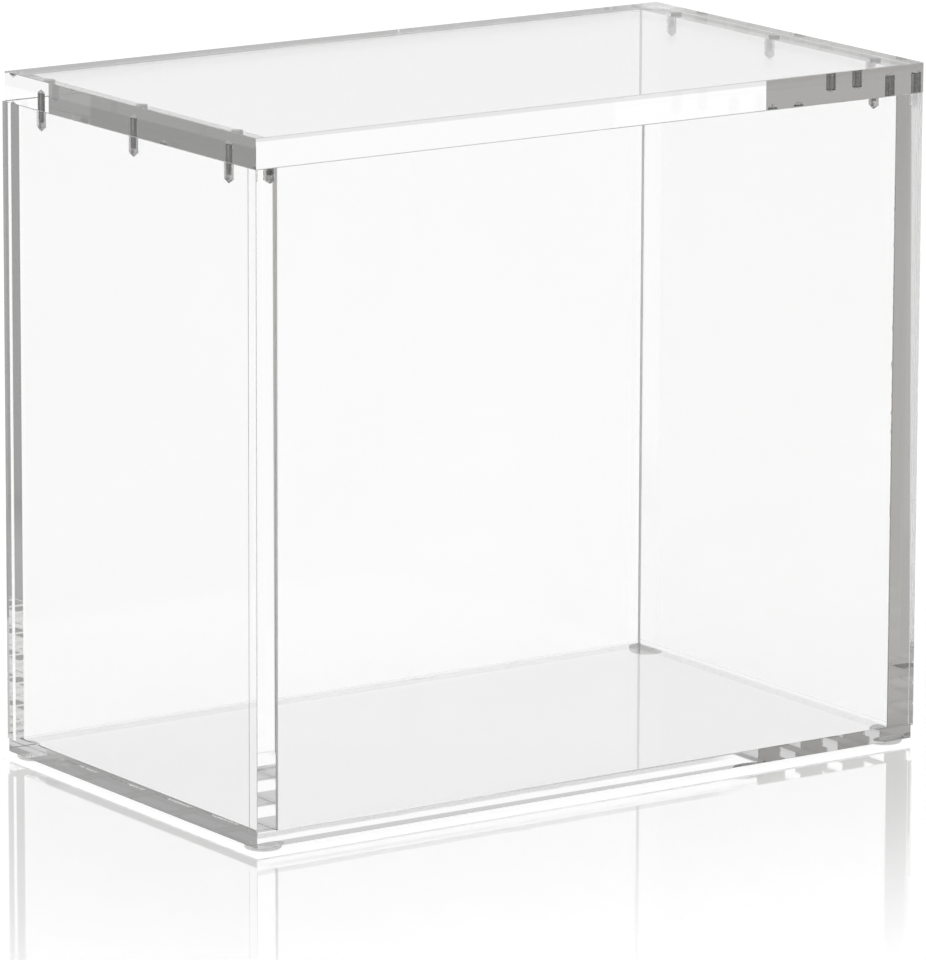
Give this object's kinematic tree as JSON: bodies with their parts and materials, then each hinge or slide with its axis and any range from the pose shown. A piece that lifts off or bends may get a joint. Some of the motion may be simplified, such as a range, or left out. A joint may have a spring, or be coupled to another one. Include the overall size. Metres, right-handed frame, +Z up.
{
  "type": "storage box",
  "caption": "Clear acrylic storage box with glued sheet walls, a thick lift-off lid located by steel pins, and clear pad feet.",
  "frame": {"origin": "on the ground under the middle of the box's footprint", "axes": "+X to the right along the front, +Y to the back, +Z up; the front panel faces -Y"},
  "size_m": [0.292, 0.17, 0.2573],
  "materials": {
    "clear_acrylic": "clear cast acrylic sheet with polished edges",
    "pin_steel": "ground steel dowel",
    "pad_clear": "clear soft plastic"
  },
  "bodies": {
    "case": {"base_panel": "clear_acrylic", "left_side_panel": "clear_acrylic", "right_side_panel": "clear_acrylic", "front_panel": "clear_acrylic", "back_panel": "clear_acrylic", "foot_front_left": "pad_clear", "foot_front_right": "pad_clear", "foot_back_left": "pad_clear", "foot_back_right": "pad_clear"},
    "lid": {"lid_panel": "clear_acrylic", "left_lid_pin_1": "pin_steel", "left_lid_pin_2": "pin_steel", "left_lid_pin_3": "pin_steel", "right_lid_pin_1": "pin_steel", "right_lid_pin_2": "pin_steel", "right_lid_pin_3": "pin_steel"}
  },
  "joints": [
    {"name": "lid_lift", "type": "slide", "parent": "case", "child": "lid", "axis": [0, 0, 1], "range_m": [0, 0.2]}
  ]
}
